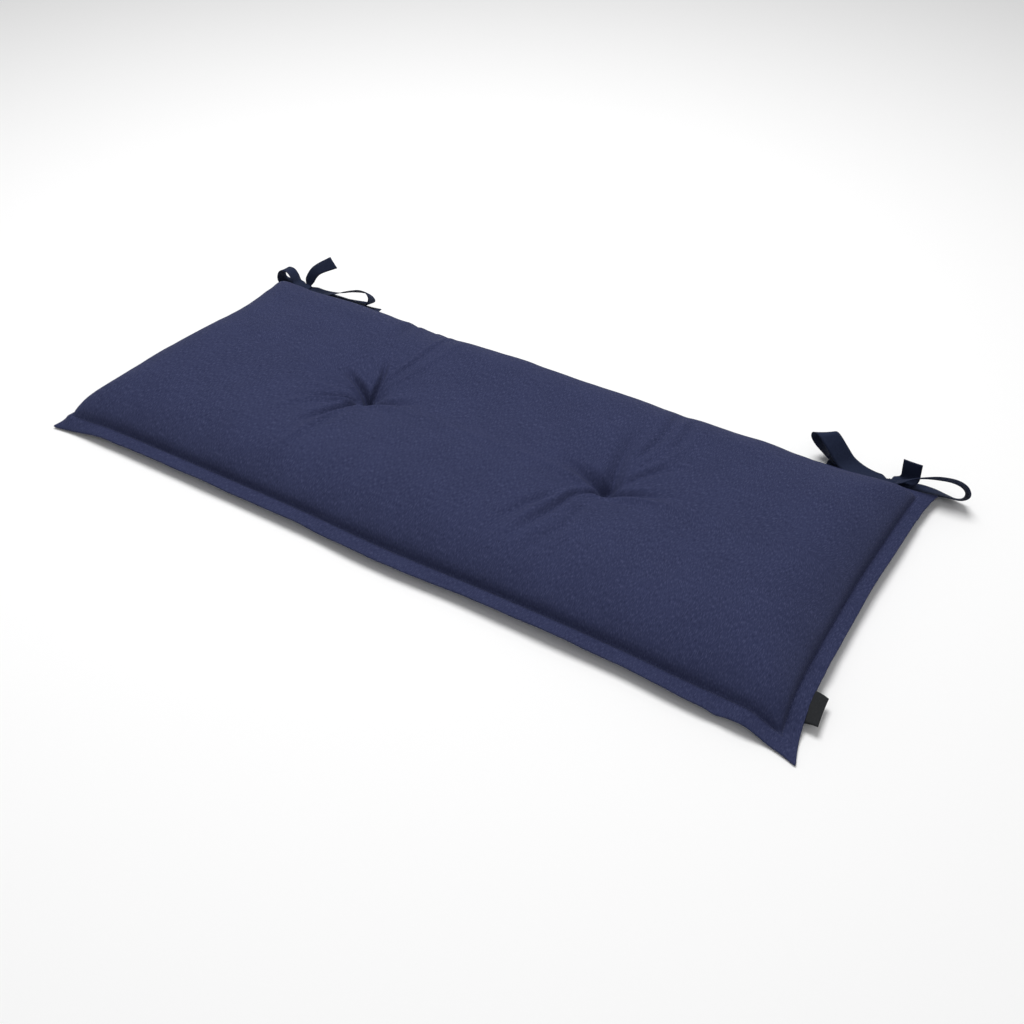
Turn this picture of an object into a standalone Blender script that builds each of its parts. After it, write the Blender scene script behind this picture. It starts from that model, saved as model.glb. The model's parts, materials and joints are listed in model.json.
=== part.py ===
"""A tufted bench cushion: flat stitched flange, two bow-tied tapes at its back corners and a side label.

Metres, +Z up. The origin is on the underside, below the middle of the cushion. +X runs along the bench,
-Y is the front edge, +Y the back edge that carries the ties. The flat underside rests on Z = 0.
"""

import math

import bmesh
import bpy
from mathutils import Matrix, Vector

# Cover, flat border and filling
CORNER_LENGTH = 1.070  # tip to tip along the bench, filled
CORNER_DEPTH = 0.480  # tip to tip from front to back, filled
FLANGE_WIDTH = 0.022  # flat border outside the stitched seam
FLANGE_THICK = 0.003  # four layers of cover cloth, pressed
CROWN_HEIGHT = 0.066  # the filled top above the bench, away from the tufts
SIDE_DRAW = {"front": 0.0125, "back": 0.0130, "left": 0.0135, "right": 0.0140}  # the filling's pull, mid-side
TOP_ROLL = {"front": 0.090, "back": 0.076, "left": 0.062, "right": 0.078}  # from the seam to full height
UNDER_ROLL = {"front": 0.070, "back": 0.070, "left": 0.075, "right": 0.075}  # the underside is flat inside it

# Height of the flange's mid-plane along each side, away from the tips
FLANGE_LIFT = {"front": 0.0155, "back": 0.0125, "left": 0.0040, "right": 0.0165}
FLANGE_DROOP = {"front": 0.0, "back": 0.0, "left": 0.0155, "right": 0.0030}  # the seam above the edge
FLANGE_TUCK = {"front": 0.0, "back": 0.0, "left": 0.0065, "right": 0.0030}  # width that the droop takes up
CORNER_SHARPNESS = (14, 6)  # how near to a corner the sides are still drawn in, along X and along Y

# Each tip: which corner, how far it stands out of the even outline, how far the seam's corner follows it,
# how high it lies, and the distances from it over which the flange comes down to that height
TIPS = [
    {"corner": (-1, -1), "out": (0.0055, -0.003), "seam": (0.013, 0.011),
     "height": 0.0030, "flat": 0.000, "reach": 0.085},
    {"corner": (1, -1), "out": (0.005, 0.0045), "seam": (0.003, 0.005),
     "height": 0.0020, "flat": 0.025, "reach": 0.068},
    {"corner": (1, 1), "out": (-0.001, 0.007), "seam": (0.006, 0.015),
     "height": 0.0130, "flat": 0.000, "reach": 0.060},
    {"corner": (-1, 1), "out": (-0.006, -0.009), "seam": (0.0, 0.0),
     "height": 0.0130, "flat": 0.000, "reach": 0.085},
]

# Slow waves of the flange: the side, where along it, how far up, how far outwards, how wide
FLANGE_WAVES = [
    {"side": "front", "at": 0.000, "rise": -0.0010, "push": 0.0045, "reach": 0.130},
    {"side": "front", "at": 0.420, "rise": -0.0020, "push": 0.0045, "reach": 0.100},
    {"side": "front", "at": 0.230, "rise": 0.0020, "push": 0.0000, "reach": 0.120},
    {"side": "back", "at": 0.440, "rise": 0.0060, "push": -0.0020, "reach": 0.150},
    {"side": "back", "at": -0.450, "rise": 0.0070, "push": -0.0075, "reach": 0.150},
    {"side": "right", "at": 0.150, "rise": 0.0000, "push": 0.0040, "reach": 0.130},
    {"side": "left", "at": -0.130, "rise": 0.0000, "push": 0.0160, "reach": 0.200},
]

# Thread tufts that pull the top down and the underside up
TUFTS = [
    {"x": -0.184, "y": 0.004, "bottom": 0.026},
    {"x": 0.184, "y": 0.004, "bottom": 0.031},
]
TUFT_BOWL = 0.135  # radius of the wide hollow round a tuft
TUFT_THROAT = 0.036  # radius of the steep part near the thread
THROAT_SHARE = 0.36  # how much of the depth is in the steep part
UNDER_TUFT = {"rise": 0.009, "reach": 0.050}

# Filling that is thicker or thinner than the rest: a soft swell each
SWELLS = [
    {"x": 0.370, "y": 0.010, "rise": 0.003, "reach": 0.170},
    {"x": -0.385, "y": 0.020, "rise": 0.002, "reach": 0.150},
    {"x": 0.000, "y": -0.090, "rise": 0.003, "reach": 0.130},
    {"x": 0.010, "y": 0.120, "rise": -0.003, "reach": 0.110},
    {"x": -0.200, "y": 0.190, "rise": -0.008, "reach": 0.080},
    {"x": 0.195, "y": 0.195, "rise": -0.003, "reach": 0.060},
    {"x": -0.460, "y": 0.130, "rise": -0.005, "reach": 0.130},
    {"x": -0.455, "y": -0.070, "rise": 0.005, "reach": 0.110},
    {"x": 0.420, "y": 0.190, "rise": -0.005, "reach": 0.110},
]

# Mesh density of the cushion
CELLS_LONG = 52
CELLS_DEEP = 26
FLANGE_CELLS = 2  # cells across the flange on each side
EDGE_CROWDING = 0.65  # how much the other cells crowd towards the seam

# Tie tapes
TAPE_WIDTH = 0.025
TAPE_THICK = 0.0010
TAPE_STEP = 0.007  # length of one face along a tape
KNOT_SIZE = Vector((0.020, 0.015, 0.012))
GATHERED_WIDTH = 0.008  # the tape's width inside the knot
GATHER_REACH = 0.016  # distance from the knot's middle at which the tape is at full width again
PIECE_GAP = 0.0010  # clear distance between separate pieces

# Each tie is one tape: two loops and two ends that meet in a knot. A route's points are measured from the
# knot's middle. "lean" is the direction across the tape at that point.
TIE_LEFT = {
    "knot": Vector((-0.4880, 0.2382, 0.0062)),
    "loop_out": [
        {"at": (0.000, 0.000, 0.003), "lean": (0.00, -0.99, 0.05)},
        {"at": (-0.010, 0.001, 0.0035), "lean": (0.12, -0.98, 0.12)},
        {"at": (-0.020, 0.0015, 0.006), "lean": (0.17, -0.96, 0.23)},
        {"at": (-0.0245, 0.0018, 0.015), "lean": (0.17, -0.96, 0.23)},
        {"at": (-0.0312, 0.002, 0.0225), "lean": (0.17, -0.96, 0.23)},
        {"at": (-0.042, 0.0028, 0.0228), "lean": (0.17, -0.96, 0.23)},
        {"at": (-0.0505, 0.0036, 0.017), "lean": (0.17, -0.96, 0.23)},
        {"at": (-0.0548, 0.0042, 0.007), "lean": (0.15, -0.97, 0.20)},
        {"at": (-0.053, 0.005, -0.0005), "lean": (0.12, -0.98, 0.10)},
        {"at": (-0.040, 0.005, -0.0025), "lean": (0.06, -0.99, 0.04)},
        {"at": (-0.020, 0.003, -0.0024), "lean": (0.03, -0.99, 0.03)},
        {"at": (0.000, 0.001, -0.002), "lean": (0.00, -0.99, 0.05)},
    ],
    "loop_in": [
        {"at": (0.000, 0.000, 0.002), "lean": (0.00, -0.99, 0.02)},
        {"at": (0.030, 0.001, 0.001), "lean": (0.06, -0.97, 0.12)},
        {"at": (0.060, 0.003, 0.0085), "lean": (0.18, -0.86, 0.38)},
        {"at": (0.085, 0.0045, 0.0185), "lean": (0.22, -0.80, 0.50)},
        {"at": (0.108, 0.005, 0.0255), "lean": (0.22, -0.74, 0.60)},
        {"at": (0.1215, 0.0055, 0.025), "lean": (0.20, -0.76, 0.58)},
        {"at": (0.1275, 0.006, 0.0165), "lean": (0.15, -0.84, 0.50)},
        {"at": (0.1205, 0.0065, 0.006), "lean": (0.10, -0.94, 0.30)},
        {"at": (0.100, 0.005, 0.000), "lean": (0.03, -0.98, 0.10)},
        {"at": (0.070, 0.001, -0.003), "lean": (0.00, -0.99, 0.02)},
        {"at": (0.040, -0.001, -0.0036), "lean": (0.00, -0.99, 0.02)},
        {"at": (0.000, 0.000, -0.002), "lean": (0.00, -0.99, 0.02)},
    ],
    "end_up": [
        {"at": (0.000, 0.001, 0.001), "lean": (0.95, -0.20, 0.22)},
        {"at": (0.000, 0.006, 0.0045), "lean": (0.92, -0.30, 0.20)},
        {"at": (0.0025, 0.0078, 0.0142), "lean": (0.90, -0.30, 0.10)},
        {"at": (0.0125, 0.008, 0.029), "lean": (0.89, -0.35, -0.02)},
        {"at": (0.0262, 0.008, 0.0408), "lean": (0.88, -0.40, -0.15)},
        {"at": (0.0555, 0.008, 0.0593), "lean": (0.84, -0.41, -0.35)},
    ],
    "end_down": [
        {"at": (0.000, 0.000, -0.0035), "lean": (0.00, 1.00, 0.00)},
        {"at": (0.020, 0.002, -0.005), "lean": (0.00, 1.00, 0.00)},
        {"at": (0.070, 0.004, -0.005), "lean": (0.00, 1.00, 0.00)},
        {"at": (0.112, 0.002, -0.0046), "lean": (0.05, 0.99, 0.00)},
        {"at": (0.138, 0.001, -0.0022), "lean": (0.12, 0.98, 0.10)},
    ],
}
TIE_RIGHT = {
    "knot": Vector((0.4720, 0.2450, 0.0062)),
    "loop_out": [
        {"at": (0.000, 0.000, 0.003), "lean": (0.10, -0.92, 0.30)},
        {"at": (0.009, 0.001, 0.006), "lean": (0.18, -0.86, 0.42)},
        {"at": (0.0173, 0.002, 0.0116), "lean": (0.26, -0.78, 0.50)},
        {"at": (0.026, 0.0025, 0.0172), "lean": (0.30, -0.70, 0.63)},
        {"at": (0.0412, 0.003, 0.0251), "lean": (0.31, -0.66, 0.67)},
        {"at": (0.0576, 0.004, 0.0304), "lean": (0.31, -0.62, 0.71)},
        {"at": (0.0756, 0.0055, 0.0322), "lean": (0.33, -0.62, 0.69)},
        {"at": (0.0885, 0.007, 0.028), "lean": (0.34, -0.66, 0.64)},
        {"at": (0.095, 0.008, 0.019), "lean": (0.34, -0.72, 0.56)},
        {"at": (0.0935, 0.009, 0.0095), "lean": (0.31, -0.72, 0.57)},
        {"at": (0.0847, 0.010, 0.0032), "lean": (0.29, -0.75, 0.52)},
        {"at": (0.072, 0.013, 0.0008), "lean": (0.24, -0.80, 0.45)},
        {"at": (0.054, 0.014, -0.0006), "lean": (0.14, -0.90, 0.28)},
        {"at": (0.034, 0.010, -0.0014), "lean": (0.05, -0.98, 0.05)},
        {"at": (0.016, 0.004, -0.0018), "lean": (0.00, -0.99, 0.02)},
        {"at": (0.000, 0.001, -0.0015), "lean": (0.00, -0.99, 0.02)},
    ],
    "loop_in": [
        {"at": (0.000, 0.000, 0.002), "lean": (0.00, -0.99, 0.02)},
        {"at": (-0.0238, 0.001, 0.0008), "lean": (-0.10, -0.98, 0.00)},
        {"at": (-0.0435, 0.003, 0.0016), "lean": (-0.30, -0.90, -0.16)},
        {"at": (-0.0601, 0.005, 0.0068), "lean": (-0.50, -0.75, -0.35)},
        {"at": (-0.0725, 0.0065, 0.0184), "lean": (-0.54, -0.71, -0.38)},
        {"at": (-0.0833, 0.008, 0.0296), "lean": (-0.56, -0.70, -0.36)},
        {"at": (-0.094, 0.011, 0.0373), "lean": (-0.75, -0.60, -0.12)},
        {"at": (-0.1034, 0.017, 0.031), "lean": (-0.80, -0.56, 0.10)},
        {"at": (-0.1065, 0.021, 0.019), "lean": (-0.66, -0.66, 0.30)},
        {"at": (-0.101, 0.0205, 0.0095), "lean": (-0.48, -0.76, 0.42)},
        {"at": (-0.0905, 0.017, 0.004), "lean": (-0.32, -0.83, 0.42)},
        {"at": (-0.0752, 0.012, 0.0002), "lean": (-0.18, -0.93, 0.26)},
        {"at": (-0.057, 0.007, -0.0022), "lean": (-0.05, -0.98, 0.06)},
        {"at": (-0.022, 0.002, -0.0026), "lean": (0.00, -0.99, 0.00)},
        {"at": (0.000, 0.001, -0.0015), "lean": (0.00, -0.99, 0.00)},
    ],
    "end_up": [
        {"at": (0.000, 0.002, 0.001), "lean": (0.70, -0.70, 0.05)},
        {"at": (0.0085, 0.0095, 0.0005), "lean": (0.80, -0.60, 0.00)},
        {"at": (0.016, 0.0155, 0.001), "lean": (0.90, -0.40, 0.00)},
        {"at": (0.020, 0.0178, 0.006), "lean": (0.97, -0.15, 0.00)},
        {"at": (0.0197, 0.018, 0.0173), "lean": (0.99, -0.06, 0.00)},
        {"at": (0.019, 0.018, 0.031), "lean": (0.99, -0.05, 0.02)},
    ],
    "end_down": [
        {"at": (0.000, 0.000, -0.0035), "lean": (0.00, 1.00, 0.00)},
        {"at": (-0.020, 0.001, -0.005), "lean": (0.00, 1.00, 0.00)},
        {"at": (-0.050, 0.002, -0.005), "lean": (0.00, 1.00, 0.00)},
        {"at": (-0.086, 0.001, -0.0045), "lean": (-0.05, 0.99, 0.00)},
    ],
}
TIE_STRIPS = ("loop_out", "loop_in", "end_up", "end_down")

# Side label: a folded woven strip sewn into the right-hand flange
LABEL_LENGTH = 0.042
LABEL_REACH = 0.015
LABEL_THICK = 0.0012
LABEL_MIDDLE_Y = -0.172
LABEL_DROOP = 0.0035

HALF_X = CORNER_LENGTH / 2
HALF_Y = CORNER_DEPTH / 2
SEAM_U = 1 - FLANGE_WIDTH / HALF_X
SEAM_V = 1 - FLANGE_WIDTH / HALF_Y


def clear_scene():
    for obj in list(bpy.data.objects):
        bpy.data.objects.remove(obj, do_unlink=True)


def new_collection(name):
    collection = bpy.data.collections.new(name)
    bpy.context.scene.collection.children.link(collection)
    return collection


def cloth_material(name, colour, roughness):
    material = bpy.data.materials.new(name)
    material.use_nodes = True
    shader = material.node_tree.nodes["Principled BSDF"]
    shader.inputs["Base Color"].default_value = (*colour, 1.0)
    shader.inputs["Roughness"].default_value = roughness
    shader.inputs["Metallic"].default_value = 0.0
    return material


def add_object(name, mesh, material, collection):
    obj = bpy.data.objects.new(name, mesh)
    collection.objects.link(obj)
    mesh.materials.clear()
    mesh.materials.append(material)
    mesh.shade_smooth()
    return obj


def soft_bump(distance, reach):
    """1 at no distance, falling smoothly to exactly 0 at reach."""
    share = min(distance / reach, 1.0)
    return (1 - share * share) ** 2


def station(cell, cells, seam):
    """Place in -1..1 of a grid line: a few lines cross each flange, the rest crowd towards the seams."""
    if cell <= FLANGE_CELLS:
        return -1 + (1 - seam) * cell / FLANGE_CELLS
    if cell >= cells - FLANGE_CELLS:
        return 1 - (1 - seam) * (cells - cell) / FLANGE_CELLS
    share = 2 * (cell - FLANGE_CELLS) / (cells - 2 * FLANGE_CELLS) - 1
    crowded = math.sin(share * math.pi / 2)
    return seam * ((1 - EDGE_CROWDING) * share + EDGE_CROWDING * crowded)


def side_shares(u, v):
    """The side names along X and Y at u, v, and how strongly each of the two rules there."""
    return {"right" if u > 0 else "left": abs(u) ** 6, "back" if v > 0 else "front": abs(v) ** 6}


def wave_sum(u, v, column):
    """What the flange's waves add at u, v: their rise or their outward push."""
    total = {}
    for side, share in side_shares(u, v).items():
        along = u * HALF_X if side in ("front", "back") else v * HALF_Y
        rows = [w for w in FLANGE_WAVES if w["side"] == side]
        total[side] = share * sum(w[column] * soft_bump(abs(along - w["at"]), w["reach"]) for w in rows)
    return total


def hang_share(u, v):
    """1 at the seam and inside it, falling to 0 at the flange's edge."""
    along_x = min(max((1 - abs(u)) / (1 - SEAM_U), 0.0), 1.0)
    along_y = min(max((1 - abs(v)) / (1 - SEAM_V), 0.0), 1.0)
    return along_x * along_y


def plan_position(u, v):
    """Where the point u, v of the flat cover lies in plan once the filling has drawn the sides in."""
    side_x, side_y = side_shares(u, v)
    pushes = wave_sum(u, v, "push")
    reach_x = HALF_X - SIDE_DRAW[side_x] * (1 - abs(v) ** CORNER_SHARPNESS[1]) + pushes[side_x]
    reach_y = HALF_Y - SIDE_DRAW[side_y] * (1 - abs(u) ** CORNER_SHARPNESS[0]) + pushes[side_y]
    hang = hang_share(u, v)
    x = u * reach_x + math.copysign(FLANGE_TUCK[side_x] * abs(u) ** 6 * hang, u)
    y = v * reach_y + math.copysign(FLANGE_TUCK[side_y] * abs(v) ** 6 * hang, v)
    for tip in TIPS:
        (on_x, on_y), (out_x, out_y), (seam_x, seam_y) = tip["corner"], tip["out"], tip["seam"]
        near_x, near_y = max(0.5 + 0.5 * on_x * u, 0), max(0.5 + 0.5 * on_y * v, 0)
        share = near_x ** 30 * near_y ** 6
        seam_share = near_x ** 14 * near_y ** 5 * hang
        x += on_x * (out_x * share + seam_x * seam_share)
        y += on_y * (out_y * share + seam_y * seam_share)
    return x, y


def flange_height(u, v):
    """Height of the flange's mid-plane, which the crown also springs from at the seam."""
    shares = side_shares(u, v)
    lift = sum(FLANGE_LIFT[side] * share for side, share in shares.items()) / max(sum(shares.values()), 1e-9)
    height = lift + sum(wave_sum(u, v, "rise").values())
    for tip in TIPS:
        on_x, on_y = tip["corner"]
        away = math.hypot((1 - on_x * u) * HALF_X, (1 - on_y * v) * HALF_Y)
        share = min(max((tip["reach"] - away) / (tip["reach"] - tip["flat"]), 0.0), 1.0)
        height += (tip["height"] - height) * share * share * (3 - 2 * share)
    droop = sum(FLANGE_DROOP[side] * share for side, share in shares.items())
    return height + hang_share(u, v) * droop


def roll(distance, reach):
    """How far a side has rolled up: a quarter of an ellipse from the seam to its full height."""
    share = min(max(distance / reach, 0.0), 1.0)
    return math.sqrt(1 - (1 - share) ** 2)


def fullness(u, v, reach):
    """0 at the seam and beyond it, 1 where the filling has its whole thickness."""
    in_x = (SEAM_U - abs(u)) * HALF_X
    in_y = (SEAM_V - abs(v)) * HALF_Y
    side_x, side_y = side_shares(u, v)
    return roll(in_x, reach[side_x]) * roll(in_y, reach[side_y])


def tuft_hollow(x, y, crown):
    """How far the tufts pull the top down at x, y."""
    depth = 0.0
    for tuft in TUFTS:
        away = math.hypot(x - tuft["x"], y - tuft["y"])
        bowl = max(1 - away / TUFT_BOWL, 0.0) ** 2
        throat = max(1 - away / TUFT_THROAT, 0.0) ** 2
        share = (1 - THROAT_SHARE) * bowl + THROAT_SHARE * throat
        depth += (crown - tuft["bottom"]) * share
    return depth


def top_height(u, v):
    x, y = plan_position(u, v)
    base = flange_height(u, v) + FLANGE_THICK / 2
    swell = sum(s["rise"] * soft_bump(math.hypot(x - s["x"], y - s["y"]), s["reach"]) for s in SWELLS)
    full = fullness(u, v, TOP_ROLL)
    crown = base + (CROWN_HEIGHT + swell - base) * full
    return crown - tuft_hollow(x, y, crown) * full


def under_height(u, v):
    x, y = plan_position(u, v)
    base = flange_height(u, v) - FLANGE_THICK / 2
    height = base * (1 - fullness(u, v, UNDER_ROLL))
    for tuft in TUFTS:
        away = math.hypot(x - tuft["x"], y - tuft["y"])
        height += UNDER_TUFT["rise"] * soft_bump(away, UNDER_TUFT["reach"])
    return height


def make_cushion(material, collection):
    """Top and underside of one cover: a flat grid is thickened, then each side takes its own height."""
    bm = bmesh.new()
    bmesh.ops.create_grid(bm, x_segments=CELLS_LONG, y_segments=CELLS_DEEP, size=1)
    under = bm.faces[:]
    raised = bmesh.ops.extrude_face_region(bm, geom=under, use_keep_orig=True)["geom"]
    top = {item for item in raised if isinstance(item, bmesh.types.BMVert)}
    for vert in bm.verts:
        u = station(round((vert.co.x + 1) / 2 * CELLS_LONG), CELLS_LONG, SEAM_U)
        v = station(round((vert.co.y + 1) / 2 * CELLS_DEEP), CELLS_DEEP, SEAM_V)
        height = top_height(u, v) if vert in top else under_height(u, v)
        vert.co = (*plan_position(u, v), height)
    bmesh.ops.recalc_face_normals(bm, faces=bm.faces)
    mesh = bpy.data.meshes.new("cushion")
    bm.to_mesh(mesh)
    bm.free()
    return add_object("cushion", mesh, material, collection)


def smooth_route(rows, step):
    """Rows about a step apart on the smooth curve through the given ones: a place, then a lean, in each."""
    ends = [2 * rows[0] - rows[1], *rows, 2 * rows[-1] - rows[-2]]
    line = []
    for p0, p1, p2, p3 in zip(ends, ends[1:], ends[2:], ends[3:]):
        pieces = max(1, round(Vector((p2 - p1)[0:3]).length / step))
        for i in range(pieces):
            t = i / pieces
            line.append(
                0.5 * (2 * p1 + (p2 - p0) * t + (2 * p0 - 5 * p1 + 4 * p2 - p3) * t * t)
                + 0.5 * (3 * p1 - p0 - 3 * p2 + p3) * t ** 3
            )
    return [*line, rows[-1]]


def make_strip(name, places, leans, knot_at):
    """A closed strip of tape along a route: a narrow grid laid on it, then thickened."""
    rows = [Vector((*place, *lean)) for place, lean in zip(places, leans)]
    routed = smooth_route(rows, TAPE_STEP)
    bm = bmesh.new()
    bmesh.ops.create_grid(bm, x_segments=len(routed) - 1, y_segments=1, size=1)
    for vert in bm.verts:
        row = routed[round((vert.co.x + 1) / 2 * (len(routed) - 1))]
        place, across = Vector(row[0:3]), Vector(row[3:6]).normalized()
        gather = soft_bump((place - knot_at).length, GATHER_REACH)
        width = TAPE_WIDTH + (GATHERED_WIDTH - TAPE_WIDTH) * gather
        vert.co = place + across * math.copysign(width / 2, vert.co.y)
    mesh = bpy.data.meshes.new(name)
    bm.to_mesh(mesh)
    bm.free()
    strip = bpy.data.objects.new(name, mesh)
    wall = strip.modifiers.new("thickness", "SOLIDIFY")
    wall.thickness = TAPE_THICK
    wall.offset = 0
    return strip


def back_edge_at(x):
    """A point on the flange's back edge face."""
    u = x / HALF_X
    return Vector((x, plan_position(u, 1)[1], flange_height(u, 1)))


def make_tie(name, tie, material, collection, helpers):
    """One tape sewn to the back edge and tied in a bow: its knot joined with the loops, ends and lead."""
    knot_at = tie["knot"]
    bpy.ops.mesh.primitive_cube_add(size=1, location=knot_at)
    knot = bpy.context.object
    knot.name = name
    knot.data.transform(Matrix.Diagonal((*KNOT_SIZE, 1)))
    for owner in list(knot.users_collection):
        owner.objects.unlink(knot)
    collection.objects.link(knot)
    knot.data.materials.append(material)
    rounding = knot.modifiers.new("rounding", "BEVEL")
    rounding.width = 0.005
    rounding.segments = 3

    strips = []
    for part_name in TIE_STRIPS:
        places = [knot_at + Vector(row["at"]) for row in tie[part_name]]
        leans = [Vector(row["lean"]).normalized() for row in tie[part_name]]
        strips.append(make_strip(f"{name}_{part_name}", places, leans, knot_at))
    sewn = back_edge_at(knot_at.x) + Vector((0, PIECE_GAP, 0))
    along_edge = back_edge_at(knot_at.x + TAPE_WIDTH / 2) - back_edge_at(knot_at.x - TAPE_WIDTH / 2)
    lead = [sewn, sewn + Vector((0, 0.003, 0)), sewn.lerp(knot_at, 0.6), knot_at]
    strips.append(make_strip(f"{name}_lead", lead, [along_edge.normalized()] * 4, knot_at))
    for strip in strips:
        helpers.objects.link(strip)
        strip.hide_render = True
        strip.display_type = "WIRE"
        join = knot.modifiers.new(strip.name, "BOOLEAN")
        join.operation = "UNION"
        join.object = strip
    return knot


def make_label(material, collection):
    """The label's folded strip: it leaves the flange's right-hand edge and droops a little."""
    v = LABEL_MIDDLE_Y / HALF_Y
    height = flange_height(1, v)
    bm = bmesh.new()
    bmesh.ops.create_cube(bm, size=1)
    bmesh.ops.subdivide_edges(
        bm, edges=[e for e in bm.edges if abs(e.verts[0].co.x - e.verts[1].co.x) > 0.5], cuts=4
    )
    for vert in bm.verts:
        out = vert.co.x + 0.5
        along = LABEL_MIDDLE_Y + vert.co.y * LABEL_LENGTH
        edge_x = plan_position(1, along / HALF_Y)[0]
        rise = (flange_height(1, along / HALF_Y) - height) * (1 - out)
        vert.co = (
            edge_x + PIECE_GAP + out * LABEL_REACH,
            along,
            height + rise + vert.co.z * LABEL_THICK - LABEL_DROOP * out * out,
        )
    mesh = bpy.data.meshes.new("label")
    bm.to_mesh(mesh)
    bm.free()
    return add_object("label", mesh, material, collection)


def main():
    clear_scene()
    parts = new_collection("bench cushion")
    helpers = new_collection("helpers")
    cover = cloth_material("navy cover cloth", (0.042, 0.050, 0.110), 0.85)
    tape = cloth_material("navy tape", (0.023, 0.032, 0.065), 0.70)
    black = cloth_material("black label", (0.012, 0.013, 0.015), 0.60)
    make_cushion(cover, parts)
    make_tie("tie_left", TIE_LEFT, tape, parts, helpers)
    make_tie("tie_right", TIE_RIGHT, tape, parts, helpers)
    make_label(black, parts)


main()
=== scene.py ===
import json
import math

import bpy
import numpy as np
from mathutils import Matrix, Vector

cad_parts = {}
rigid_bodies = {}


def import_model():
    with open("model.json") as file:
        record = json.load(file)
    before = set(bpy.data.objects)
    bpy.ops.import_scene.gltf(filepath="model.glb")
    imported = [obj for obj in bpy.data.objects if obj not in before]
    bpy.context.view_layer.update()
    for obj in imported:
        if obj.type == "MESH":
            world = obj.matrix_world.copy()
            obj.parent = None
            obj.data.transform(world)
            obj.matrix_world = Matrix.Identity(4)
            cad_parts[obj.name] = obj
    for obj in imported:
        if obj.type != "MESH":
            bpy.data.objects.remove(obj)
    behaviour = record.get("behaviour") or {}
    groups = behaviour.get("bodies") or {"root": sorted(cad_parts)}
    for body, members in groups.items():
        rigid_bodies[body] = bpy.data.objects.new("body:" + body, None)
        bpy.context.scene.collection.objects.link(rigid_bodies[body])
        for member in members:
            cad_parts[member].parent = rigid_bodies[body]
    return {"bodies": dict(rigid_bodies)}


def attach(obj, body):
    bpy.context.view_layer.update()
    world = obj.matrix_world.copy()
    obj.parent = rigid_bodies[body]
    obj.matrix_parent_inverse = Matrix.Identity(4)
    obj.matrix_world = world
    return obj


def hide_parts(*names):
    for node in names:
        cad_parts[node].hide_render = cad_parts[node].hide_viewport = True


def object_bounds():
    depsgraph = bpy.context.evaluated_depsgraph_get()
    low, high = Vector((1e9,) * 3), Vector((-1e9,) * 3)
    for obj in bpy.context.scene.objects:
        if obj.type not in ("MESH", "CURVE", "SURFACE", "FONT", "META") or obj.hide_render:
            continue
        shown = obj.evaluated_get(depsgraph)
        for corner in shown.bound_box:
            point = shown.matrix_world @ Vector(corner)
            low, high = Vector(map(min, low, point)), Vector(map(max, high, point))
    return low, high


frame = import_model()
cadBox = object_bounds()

body = next(iter(frame["bodies"]))


def softBump(distance, reach):
    share = np.minimum(distance / reach, 1.0)
    return (1 - share * share) ** 2


def easeStep(value, low, high):
    share = np.clip((value - low) / (high - low), 0, 1)
    return share * share * (3 - 2 * share)


def smoothRoute(rows, step):
    rows = np.array(rows, float)
    rows[:, 3:] /= np.linalg.norm(rows[:, 3:], axis=1)[:, None]
    ends = np.vstack([2 * rows[0] - rows[1], rows, 2 * rows[-1] - rows[-2]])
    line = []
    for p0, p1, p2, p3 in zip(ends, ends[1:], ends[2:], ends[3:]):
        count = max(1, round(float(np.linalg.norm((p2 - p1)[:3])) / step))
        for i in range(count):
            t = i / count
            line.append(0.5 * (2 * p1 + (p2 - p0) * t + (2 * p0 - 5 * p1 + 4 * p2 - p3) * t * t
                               + (3 * p1 - p0 - 3 * p2 + p3) * t ** 3))
    return np.array(line + [rows[-1]])


def unevenField(x, y, size, seed):  # smooth lumps about one size apart, from -1 to 1
    rng = np.random.default_rng(seed)
    lattice = rng.uniform(-1, 1, (64, 64))
    gx, gy = x / size + 29.3, y / size + 27.7
    ix, iy = np.floor(gx).astype(int), np.floor(gy).astype(int)
    fx, fy = gx - ix, gy - iy
    fx, fy = fx * fx * (3 - 2 * fx), fy * fy * (3 - 2 * fy)
    at = lambda i, j: lattice[(ix + i) % 64, (iy + j) % 64]
    low = at(0, 0) * (1 - fx) + at(1, 0) * fx
    high = at(0, 1) * (1 - fx) + at(1, 1) * fx
    return low * (1 - fy) + high * fy


def unevenLine(along, size, seed):
    return unevenField(along, np.zeros_like(along) + 0.37 * size, size, seed)


def placeObject(name, data, at=(0, 0, 0)):
    item = bpy.data.objects.new(name, data)
    item.location = at
    bpy.context.scene.collection.objects.link(item)
    return item


def meshPiece(name, points, faces, uv, material):
    mesh = bpy.data.meshes.new(name)
    mesh.from_pydata(points.tolist(), [], faces)
    layer = mesh.uv_layers.new(name="cloth")
    corner = np.zeros(len(mesh.loops), int)
    mesh.loops.foreach_get("vertex_index", corner)
    layer.data.foreach_set("uv", uv[corner].astype(np.float32).ravel())
    mesh.materials.append(material)
    mesh.shade_smooth()
    mesh.update()
    return placeObject(name, mesh)


def bakeModifiers(piece):
    view = bpy.context.evaluated_depsgraph_get()
    mesh = bpy.data.meshes.new_from_object(piece.evaluated_get(view))
    old = piece.data
    piece.modifiers.clear()
    piece.data = mesh
    mesh.name = piece.name
    bpy.data.meshes.remove(old)
    return piece


studio = {
    "cameraAt": (0.702, -1.046, 0.982),
    "azimuth": 31.94,
    "elevation": 40.05,
    "lens": 42.43,
    "floorColour": (0.90, 0.90, 0.90),
    "floorHalf": 6.0,
    "floorDrop": 0.0004,
    "skyStrength": 0.38,
    "keyPower": 66.0,
    "keyAt": (-0.45, 0.50, 2.7),
    "keySize": 1.6,
    "fillPower": 8.0,
    "fillAt": (1.8, -1.6, 1.6),
    "fillSize": 2.4,
}


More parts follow.
